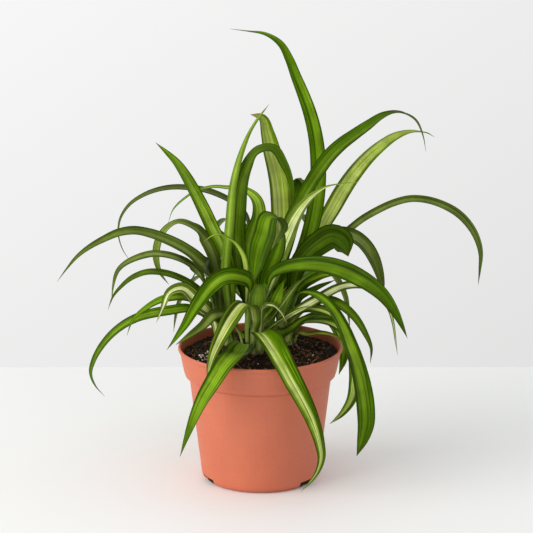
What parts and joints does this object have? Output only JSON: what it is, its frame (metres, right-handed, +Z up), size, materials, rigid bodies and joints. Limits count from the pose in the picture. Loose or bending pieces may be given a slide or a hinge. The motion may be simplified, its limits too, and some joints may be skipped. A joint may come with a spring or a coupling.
{
  "type": "potted spider plant",
  "caption": "Arching strap-leaved houseplant with striped leaves, rooted in soil in a tapered nursery pot with a rim band and drain notches.",
  "frame": {"origin": "centre of the pot's flat base, on the surface that it stands on", "axes": "+Z up through the pot's mouth, -Y towards the front that the two long front leaves hang over, +X to the right of someone facing it"},
  "size_m": [0.3376, 0.2164, 0.3516],
  "materials": {
    "pot": "moulded satin terracotta-coloured plastic",
    "soil": "loose dark potting mix with white perlite",
    "crown": "pale fleshy leaf bases",
    "leaf": "satin leaf with lengthwise stripes"
  },
  "bodies": {
    "root": {"pot": "pot", "soil": "soil", "crown_front": "crown", "crown_left": "crown", "crown_right": "crown", "crown_middle": "crown", "crown_back": "crown", "leaf_front_left_long": "leaf", "leaf_front_right_long": "leaf", "leaf_low_left_grey": "leaf", "leaf_right_pale_edge": "leaf", "leaf_right_low_brown": "leaf", "leaf_stub_left": "leaf", "leaf_front_striped": "leaf", "leaf_right_low_pale": "leaf", "leaf_front_left_bright": "leaf", "leaf_short_upright_b": "leaf", "leaf_curl_cream": "leaf", "leaf_short_upright_a": "leaf", "leaf_curl_pale": "leaf", "leaf_centre_upright": "leaf", "leaf_right_bright_arch": "leaf", "leaf_centre_kinked": "leaf", "leaf_low_left_long": "leaf", "leaf_left_cream_folded": "leaf", "leaf_low_left_striped": "leaf", "leaf_small_hook": "leaf", "leaf_left_thin": "leaf", "leaf_left_arch": "leaf", "leaf_left_middle": "leaf", "leaf_small_upright": "leaf", "leaf_left_hook": "leaf", "leaf_centre_left_tall": "leaf", "leaf_left_upright": "leaf", "leaf_right_behind_rim": "leaf", "leaf_right_over_soil": "leaf", "leaf_right_inner_droop": "leaf", "leaf_right_thin_brown": "leaf", "leaf_right_short_droop": "leaf", "leaf_right_outer_droop": "leaf", "leaf_right_dark_pointed": "leaf", "leaf_right_arch": "leaf", "leaf_right_big_droop": "leaf", "leaf_right_dark_folded": "leaf", "leaf_right_broad_green": "leaf", "leaf_right_tall": "leaf", "leaf_right_long_arch": "leaf", "leaf_tallest": "leaf", "leaf_centre_arch_back": "leaf", "leaf_centre_broad": "leaf", "leaf_centre_cream": "leaf", "leaf_back_right_low": "leaf", "leaf_back_low": "leaf", "leaf_back_left_low": "leaf", "leaf_back_left_grey": "leaf", "leaf_back_right_arch": "leaf", "leaf_back_left_broad": "leaf", "leaf_back_left_arch": "leaf", "leaf_behind_folded": "leaf", "leaf_back_right_pale": "leaf"}
  },
  "joints": []
}
